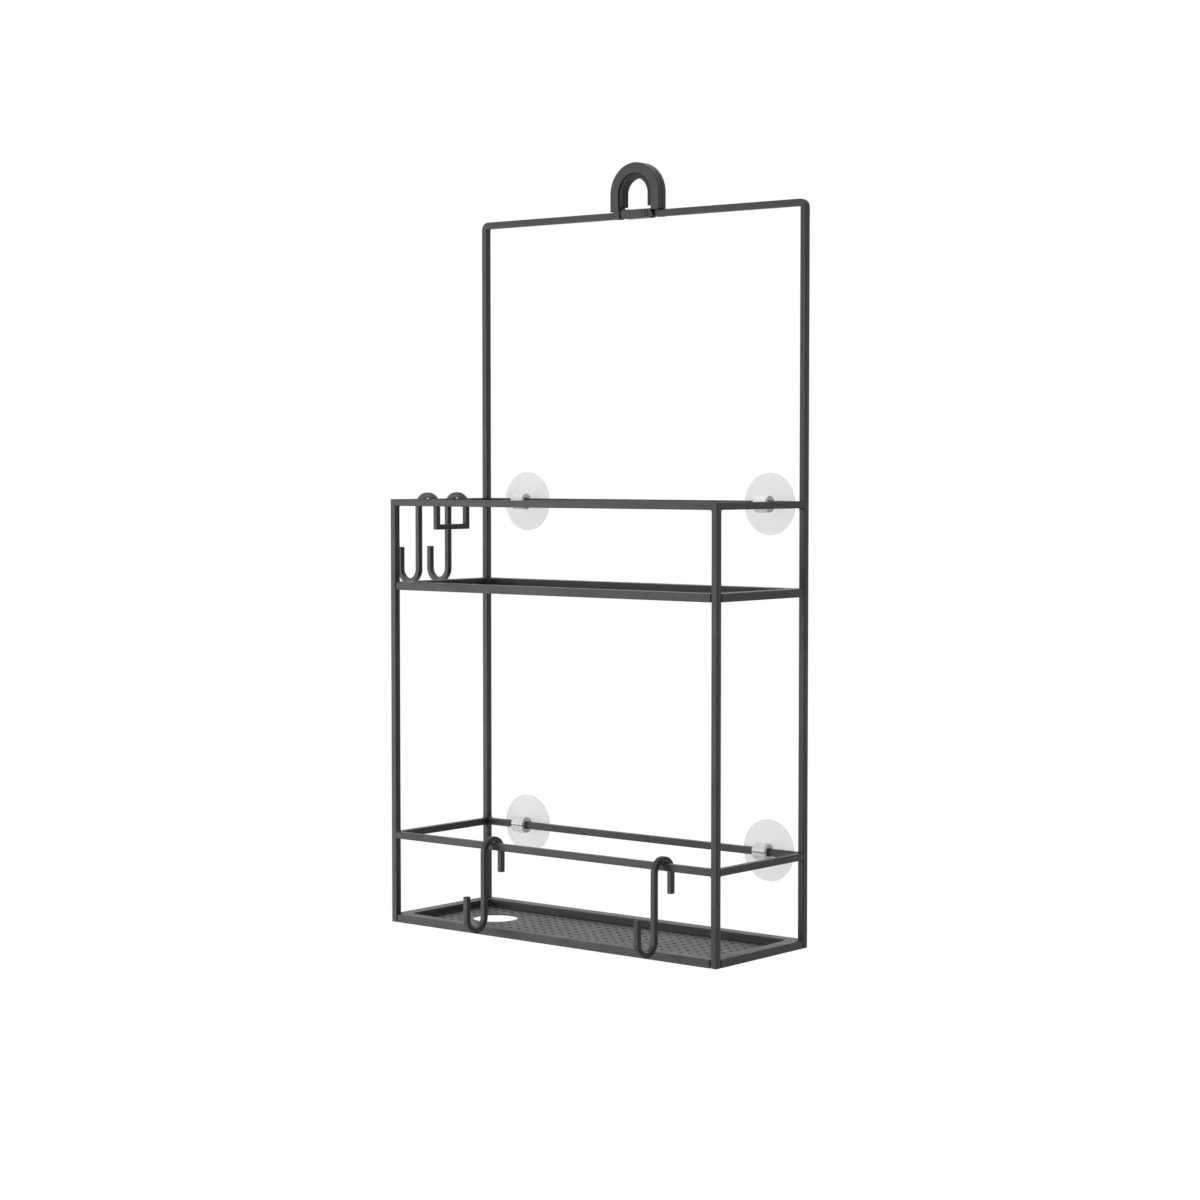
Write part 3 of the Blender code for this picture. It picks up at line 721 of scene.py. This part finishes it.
def hole_punches(low, high):
    """One mesh with a punch for every drain hole and for the bottle hole."""
    centre_y = (high.y + low.y) / 2
    bottle = Vector((BOTTLE_HOLE_X, centre_y + BOTTLE_HOLE_BACK))
    under, over = low.z - SHEET, low.z + 2 * SHEET
    made = bmesh.new()
    upright_cylinder(made, bottle.x, bottle.y, under, over, BOTTLE_HOLE_RADIUS, BOTTLE_HOLE_SIDES)
    count = 0
    for column in range(HOLE_COLUMNS):
        for row in range(HOLE_ROWS):
            x = (column - (HOLE_COLUMNS - 1) / 2) * HOLE_PITCH
            y = centre_y + (row - (HOLE_ROWS - 1) / 2) * HOLE_PITCH
            if (Vector((x, y)) - bottle).length < HOLE_CLEARANCE:
                continue
            upright_cylinder(made, x, y, under, over, HOLE_RADIUS, HOLE_SIDES)
            count += 1
    return made, count


for node in ("lower_tray", "upper_tray"):
    low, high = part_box(node)
    pan = new_object(f"{node}_pan", pan_mesh(low, high))
    punches, drain_holes = hole_punches(low, high)
    boolean(pan, punches, "DIFFERENCE")
    smooth_edges(pan)
    finish(pan, node, "powder_coat")
    print(node, "drain holes:", drain_holes)

# %% [markdown]
# ## Hooks
#
# Each hook is one length of thinner rod with two half turns: one over the rail, and one at the
# bottom that brings it up again to an open tip. The route is drawn in the hook's own plane, so the
# same function gives the two S hooks and both halves of the razor hook. The razor hook is one rod
# too: it runs down the short leg of one hook, straight across and up into the other.

# %% Bend the hooks
HOOK_CORNER = 0.5 * MM
TIP_HEIGHT = 31.0 * MM
S_HOOK_TAIL = 30.2 * MM
RAZOR_TAIL = 31.2 * MM
TURN_STEPS = 24
HOOK_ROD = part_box("hook_left")[1].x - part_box("hook_left")[0].x


def hook_route(height, turn, tail):
    """A hook in its own plane, from tip to tail: distance out from the rail, and height."""
    half = HOOK_ROD / 2
    route = [(3 * turn, TIP_HEIGHT - height)]
    route += arc((2 * turn, half + turn - height), turn, 0, -180, TURN_STEPS)
    route += arc((0, -half - turn), turn, 0, 180, TURN_STEPS)
    route.append((-turn, -tail))
    return route


def s_hook(node):
    """A hook over the front rail."""
    low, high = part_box(node)
    turn = (high.y - low.y - HOOK_ROD) / 4
    rail_y = high.y - HOOK_ROD / 2 - turn
    x = middle(node, "x")
    flat = hook_route(high.z - low.z, turn, S_HOOK_TAIL)
    route = [(x, rail_y - out, high.z + rise) for out, rise in flat]
    piece = new_object(f"{node}_rod", sweep_rod(route, HOOK_ROD, HOOK_CORNER, (1, 0, 0)))
    smooth_edges(piece)
    return finish(piece, node, "powder_coat")


def razor_hook(node):
    """Two hooks over the left rail, joined across their short legs."""
    low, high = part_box(node)
    turn = (high.x - low.x - HOOK_ROD) / 4
    rail_x = high.x - HOOK_ROD / 2 - turn
    flat = hook_route(high.z - low.z, turn, RAZOR_TAIL - HOOK_ROD / 2)
    front = [(rail_x - out, low.y + HOOK_ROD / 2, high.z + rise) for out, rise in flat]
    rear = [(rail_x - out, high.y - HOOK_ROD / 2, high.z + rise) for out, rise in flat]
    route = front + rear[::-1]
    piece = new_object(f"{node}_rod", sweep_rod(route, HOOK_ROD, HOOK_CORNER, (0, 1, 0)))
    smooth_edges(piece)
    return finish(piece, node, "powder_coat")


s_hook("hook_left")
s_hook("hook_right")
razor_hook("razor_hook")
print(f"hooks: 3, rod {HOOK_ROD / MM:.1f} mm square")

# %% [markdown]
# ## The grip
#
# The grip is two moulded half shells with a seam that runs round the arch, a rubber lining and a
# gate that closes under the arm. Mouldings have the same wall outline along their whole depth, so
# each one is an outline pushed along Y, trimmed with Booleans and then softened with a bevel. The
# bevel along the seam is what draws the thin dark line between the shells.

# %% Draw the arch and mould the shells
front_low, front_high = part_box("grip_front_shell")
back_low, back_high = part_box("grip_back_shell")
liner_low, liner_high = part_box("grip_liner")
ARCH_OUTER = front_high.x
ARCH_INNER = liner_high.x + GAP
LEG_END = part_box("hoop_left")[1].z + GAP
ARCH_STEPS = 64
SCREW_HOLE = 1.5 * MM                          # radius
GRIP_EDGE = 0.45 * MM
FRONT_WALL = 1.2 * MM
FOOT_LEFT = -22.2 * MM
FOOT_RIGHT = -15.6 * MM
SKIRT_FRONT = ROD / 2 + GAP
NOTCH_FRONT = -2.0 * MM
NOTCH_BACK = 1.7 * MM
NOTCH_TALL = 0.9 * MM


def push(outline, start, end, axis="Y"):
    """Push a closed outline along one axis, as a bmesh."""
    def point(pair, along):
        values = list(pair)
        values.insert("XYZ".index(axis), along)
        return Vector(values)

    made = bmesh.new()
    near = [made.verts.new(point(pair, start)) for pair in outline]
    far = [made.verts.new(point(pair, end)) for pair in outline]
    made.faces.new(near)
    made.faces.new(far)
    for index in range(len(outline)):
        beside = (index + 1) % len(outline)
        made.faces.new((near[index], near[beside], far[beside], far[index]))
    return made


def block(low, high):
    """A box between two corners, as a bmesh."""
    outline = [(low[0], low[1]), (high[0], low[1]), (high[0], high[1]), (low[0], high[1])]
    return push(outline, low[2], high[2], "Z")


def arch(outer, inner, leg_end):
    """An upside-down U round the shower arm."""
    outline = [(outer, leg_end), *arc((0, 0), outer, 0, 180, ARCH_STEPS), (-outer, leg_end)]
    outline += [(-inner, leg_end), *arc((0, 0), inner, 180, 0, ARCH_STEPS), (inner, leg_end)]
    return outline


def disc(x, z, radius, sides=32):
    """A closed circle, as an outline."""
    return arc((x, z), radius, 0, 360, sides)[:-1]


def seam_notch():
    """A small opening at the foot of the right leg's seam, where water drains from the shells."""
    low = (ARCH_OUTER - FRONT_WALL, NOTCH_FRONT, LEG_END - PAST)
    return block(low, (ARCH_OUTER + PAST, NOTCH_BACK, LEG_END + NOTCH_TALL))


screw_x, screw_z = middle("grip_screw_right", "x"), middle("grip_screw_right", "z")
rod_screw_x, rod_screw_z = middle("rod_screw_right", "x"), middle("rod_screw_right", "z")
screw_head = (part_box("grip_screw_right")[1].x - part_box("grip_screw_right")[0].x) / 2

both_legs = arch(ARCH_OUTER, ARCH_INNER, LEG_END)
front_shell = new_object("grip_front_shell_moulding", push(both_legs, front_low.y, front_high.y))
foot = block((FOOT_LEFT, front_low.y, front_low.z), (FOOT_RIGHT, -SKIRT_FRONT, LEG_END + PAST))
boolean(front_shell, foot, "UNION")
for side in (-1, 1):
    hole = push(disc(side * screw_x, screw_z, SCREW_HOLE), front_low.y + FRONT_WALL, PAST)
    boolean(front_shell, hole, "DIFFERENCE")
boolean(front_shell, seam_notch(), "DIFFERENCE")
smooth_edges(front_shell, GRIP_EDGE)
finish(front_shell, "grip_front_shell", "black_plastic")
print("front shell:", len(front_shell.data.polygons), "faces")

# %% [markdown]
# The back shell carries everything that is fastened: a skirt behind each end of the hoop, a deep
# seat for each screw head, and the lug that the gate's hinge pin passes through. The rubber lining
# fills the arch right up to the shells, so no light shows between them.

# %% Mould the back shell and the lining
gate_low, gate_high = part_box("gate")
pin_low, pin_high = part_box("gate_pin")
pin_x, pin_z = middle("gate_pin", "x"), middle("gate_pin", "z")
PIN_HOLE = (pin_high.x - pin_low.x) / 2 + GAP
SKIRT_INNER = 17.8 * MM
SEAT_DEPTH = 1.4 * MM
LUG_FRONT = -0.35 * MM
LUG_BACK = 1.9 * MM
LUG_RADIUS = 3.3 * MM

back_shell = new_object("grip_back_shell_moulding", push(both_legs, back_low.y, back_high.y))
for side in (-1, 1):
    edges = sorted((side * ARCH_OUTER, side * SKIRT_INNER))
    skirt_low = (edges[0], SKIRT_FRONT, back_low.z)
    boolean(back_shell, block(skirt_low, (edges[1], back_high.y, LEG_END + PAST)), "UNION")
lug = arc((pin_x, pin_z), LUG_RADIUS, -90, 90, 24)
lug += [(-SKIRT_INNER, pin_z + LUG_RADIUS), (-SKIRT_INNER, pin_z - LUG_RADIUS)]
boolean(back_shell, push(lug, LUG_FRONT, LUG_BACK), "UNION")
behind = back_high.y + PAST
for side in (-1, 1):
    for hole_x, hole_z in ((side * screw_x, screw_z), (side * rod_screw_x, rod_screw_z)):
        hole = push(disc(hole_x, hole_z, SCREW_HOLE), back_low.y - PAST, behind)
        boolean(back_shell, hole, "DIFFERENCE")
    seat = push(disc(side * screw_x, screw_z, screw_head + GAP), back_high.y - SEAT_DEPTH, behind)
    boolean(back_shell, seat, "DIFFERENCE")
hole = push(disc(pin_x, pin_z, PIN_HOLE), LUG_FRONT - PAST, LUG_BACK + PAST)
boolean(back_shell, hole, "DIFFERENCE")
boolean(back_shell, seam_notch(), "DIFFERENCE")
smooth_edges(back_shell, 0.3 * MM)
finish(back_shell, "grip_back_shell", "black_plastic")

LINER_INNER = 12.9 * MM
liner_outline = arch(ARCH_INNER, LINER_INNER, liner_low.z)
liner = new_object("grip_liner_moulding", push(liner_outline, liner_low.y, liner_high.y))
smooth_edges(liner, 0.5 * MM)
finish(liner, "grip_liner", "rubber")
print("back shell:", len(back_shell.data.polygons), "faces")

# %% [markdown]
# The gate swings about a steel pin at its left end. Its right end holds the latch button, set in a
# pocket at the front, and ends in a small wedge that reaches towards the right leg. The button has
# three shallow grooves, so that a wet thumb doesn't slip.

# %% Mould the gate, its pin and the latch button
KNUCKLE = pin_z - gate_low.z
button_low, button_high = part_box("latch_button")
NOSE_TOP = -15.5 * MM
NOSE_CREST = 17.6 * MM
NOSE_BOTTOM = -19.2 * MM
BUTTON_SEAT = -1.0 * MM
BUTTON_DEPTH = 1.9 * MM
PEG_RADIUS = 1.2 * MM
PEG_HOLE = 1.5 * MM
PEG_HOLE_END = 2.2 * MM
GROOVE_SPACING = 1.8 * MM
GROOVE_RADIUS = 0.5 * MM
GROOVE_LIFT = 0.1 * MM                         # its axis lies this far in front of the button
GROOVE_MARGIN = 1.2 * MM

meets_top = 180 - math.degrees(math.asin((gate_high.z - pin_z) / KNUCKLE))
outline = arc((pin_x, pin_z), KNUCKLE, 270, meets_top, 24)
outline += [(button_high.x, gate_high.z), (button_high.x, NOSE_TOP), (NOSE_CREST, NOSE_TOP)]
outline += [(gate_high.x, NOSE_BOTTOM), (button_high.x, NOSE_BOTTOM), (button_high.x, gate_low.z)]
gate = new_object("gate_moulding", push(outline, gate_low.y, gate_high.y))
button_x, button_z = middle("latch_button", "x"), middle("latch_button", "z")
over = gate_high.z + PAST
under = gate_low.z - PAST
slot_high = (pin_x + LUG_RADIUS + 4 * GAP, LUG_BACK + GAP, over)
cuts = [block((gate_low.x - PAST, LUG_FRONT - GAP, under), slot_high)]
cuts.append(push(disc(pin_x, pin_z, PIN_HOLE), pin_low.y - GAP, gate_high.y + PAST))
pocket_high = (button_high.x + GAP, BUTTON_SEAT, over)
cuts.append(block((button_low.x - GAP, gate_low.y - PAST, under), pocket_high))
cuts.append(push(disc(button_x, button_z, PEG_HOLE), BUTTON_SEAT - PAST, PEG_HOLE_END))
for shape in cuts:
    boolean(gate, shape, "DIFFERENCE")
smooth_edges(gate, 0.35 * MM)
finish(gate, "gate", "black_plastic")

pin_round = disc(pin_x, pin_z, PIN_HOLE - GAP)
pin = new_object("gate_pin_turned", push(pin_round, pin_low.y, pin_high.y))
smooth_edges(pin, 0.2 * MM)
finish(pin, "gate_pin", "steel")

button_back = button_low.y + BUTTON_DEPTH
plate = block(button_low, (button_high.x, button_back, button_high.z))
button = new_object("latch_button_moulding", plate)
peg = push(disc(button_x, button_z, PEG_RADIUS), button_back - PAST / 2, button_high.y)
boolean(button, peg, "UNION")
groove_low, groove_high = button_low.z + GROOVE_MARGIN, button_high.z - GROOVE_MARGIN
for place in (-1, 0, 1):
    groove_x = button_x + place * GROOVE_SPACING
    round_groove = disc(groove_x, button_low.y - GROOVE_LIFT, GROOVE_RADIUS, 16)
    boolean(button, push(round_groove, groove_low, groove_high, "Z"), "DIFFERENCE")
smooth_edges(button, 0.25 * MM, 2)
finish(button, "latch_button", "black_plastic")
print("gate:", len(gate.data.polygons), "faces, button:", len(button.data.polygons), "faces")

# %% [markdown]
# ## Screws
#
# Four small screws hold the grip together and to the hoop. A screw is a turned piece, so its
# outline is spun round its axis. The cross slot in the head is cut with two thin blocks.

# %% Turn the screws
SHANK = 1.2 * MM                               # radius
SHANK_POINT = 0.7 * MM
HEAD_TALL = 1.1 * MM
HEAD_RIM = 0.5 * MM
HEAD_SHOULDER = 0.15 * MM
SLOT_DEEP = 0.6 * MM
SLOT_HALF = 0.25 * MM
MERGE_DISTANCE = 0.002 * MM


def turned(outline, centre_x, centre_z, steps=48):
    """Spin an outline of radius and Y round an axis along Y."""
    made = bmesh.new()
    points = [made.verts.new((centre_x + radius, y, centre_z)) for radius, y in outline]
    edges = [made.edges.new(pair) for pair in zip(points, points[1:])]
    bmesh.ops.spin(made, geom=points + edges, cent=(centre_x, 0, centre_z), axis=(0, 1, 0),
                   angle=2 * math.pi, steps=steps, use_merge=True)
    bmesh.ops.remove_doubles(made, verts=made.verts, dist=MERGE_DISTANCE)
    return made


def screw(node):
    """A pointed shank, a low domed head and the cross slot in it."""
    low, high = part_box(node)
    x, z = middle(node, "x"), middle(node, "z")
    head = (high.x - low.x) / 2
    under = high.y - HEAD_TALL
    outline = [(0, low.y), (SHANK * 0.5, low.y), (SHANK, low.y + SHANK_POINT), (SHANK, under)]
    outline += [(head, under), (head, high.y - HEAD_RIM), (head * 0.86, high.y - HEAD_SHOULDER)]
    outline += [(head * 0.6, high.y), (0, high.y)]
    piece = new_object(f"{node}_turned", turned(outline, x, z, 40))
    slot_long = head * 0.62
    for wide, tall in ((slot_long, SLOT_HALF), (SLOT_HALF, slot_long)):
        slot_low = (x - wide, high.y - SLOT_DEEP, z - tall)
        slot = block(slot_low, (x + wide, high.y + PAST, z + tall))
        boolean(piece, slot, "DIFFERENCE")
    smooth_edges(piece)
    return finish(piece, node, "steel")


for node in ("grip_screw_left", "grip_screw_right", "rod_screw_left", "rod_screw_right"):
    screw(node)
print("screws: 4")

# %% [markdown]
# ## Suction cups and their clips
#
# A clip is a short milky tube with a square bore that snaps over the rail. The slit along its
# front is where it opens. The cup is soft vinyl: a thin disc, pressed flat, with a thicker hub in
# the middle that ends in a knob, and the knob sits in the clip. Light goes through both, so their
# inner faces matter as much as the outer ones, and the cup is a real shell with a hollow back.

# %% Mould the clips and the cups
KNOB = 2.1 * MM                                # radius
SLIT_HALF = 0.4 * MM
DISC_THICK = 1.85 * MM
LIP = 0.35 * MM                                # radius of the round edge


def rail_clip(node):
    """A tube with a square bore, a slit in front and a hole behind for the cup's knob."""
    low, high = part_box(node)
    centre = (low + high) / 2
    radius = (high.z - low.z) / 2
    bore = ROD / 2 + GAP
    left = low.x - PAST
    right = high.x + PAST
    tube = push(disc(0.0, centre.z, radius, 64), low.x, high.x, "X")
    piece = new_object(f"{node}_moulding", tube)
    cuts = [block((left, -bore, centre.z - bore), (right, bore, centre.z + bore))]
    slit_low = (left, -radius - PAST, centre.z - SLIT_HALF)
    cuts.append(block(slit_low, (right, PAST - bore, centre.z + SLIT_HALF)))
    cuts.append(push(disc(centre.x, centre.z, KNOB + GAP), bore - PAST, radius + PAST))
    for shape in cuts:
        boolean(piece, shape, "DIFFERENCE")
    smooth_edges(piece, 0.3 * MM)
    return finish(piece, node, "clear_plastic")


def suction_cup(node):
    """One outline from the knob's tip, out over the disc, round its lip and in along the back."""
    low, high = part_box(node)
    edge = (high.x - low.x) / 2
    wall = high.y
    front = wall - DISC_THICK
    outline = [(0, low.y), (KNOB * 0.8, low.y), (KNOB, low.y + 0.4 * MM), (KNOB, front - 0.6 * MM)]
    outline += [(KNOB + 0.5 * MM, front), (3.6 * MM, front), (7.0 * MM, front + 0.25 * MM)]
    outline += [(11.5 * MM, front + 0.45 * MM), (12.2 * MM, front + 0.62 * MM)]
    outline += [(edge * 0.72, front + 0.85 * MM), (edge - 1.2 * MM, wall - 0.7 * MM)]
    outline += arc((edge - LIP, wall - LIP), LIP, -80, 80, 6)
    outline += [(edge - 1.5 * MM, wall - 0.05 * MM), (edge * 0.7, wall - 0.35 * MM)]
    outline += [(8.0 * MM, wall - 0.6 * MM), (0, wall - 0.7 * MM)]
    spun = turned(outline, middle(node, "x"), middle(node, "z"), 96)
    piece = new_object(f"{node}_moulding", spun)
    smooth_edges(piece, angle=50)
    return finish(piece, node, "clear_vinyl")


for row in ("upper", "lower"):
    for side in ("left", "right"):
        rail_clip(f"clip_{row}_{side}")
        suction_cup(f"cup_{row}_{side}")
print("suction cups: 4, clips: 4")

# %% [markdown]
# ## The two boxes
#
# The finished model must fill the same space as the design. Both boxes are printed, one after the
# other.

# %% Print the boxes of the design and of the finished model
finished_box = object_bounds()
boxes = {"cad": [list(c) for c in design_box], "visual": [list(c) for c in finished_box]}
for name, box in boxes.items():
    print(name, [[round(v, 4) for v in corner] for corner in box])
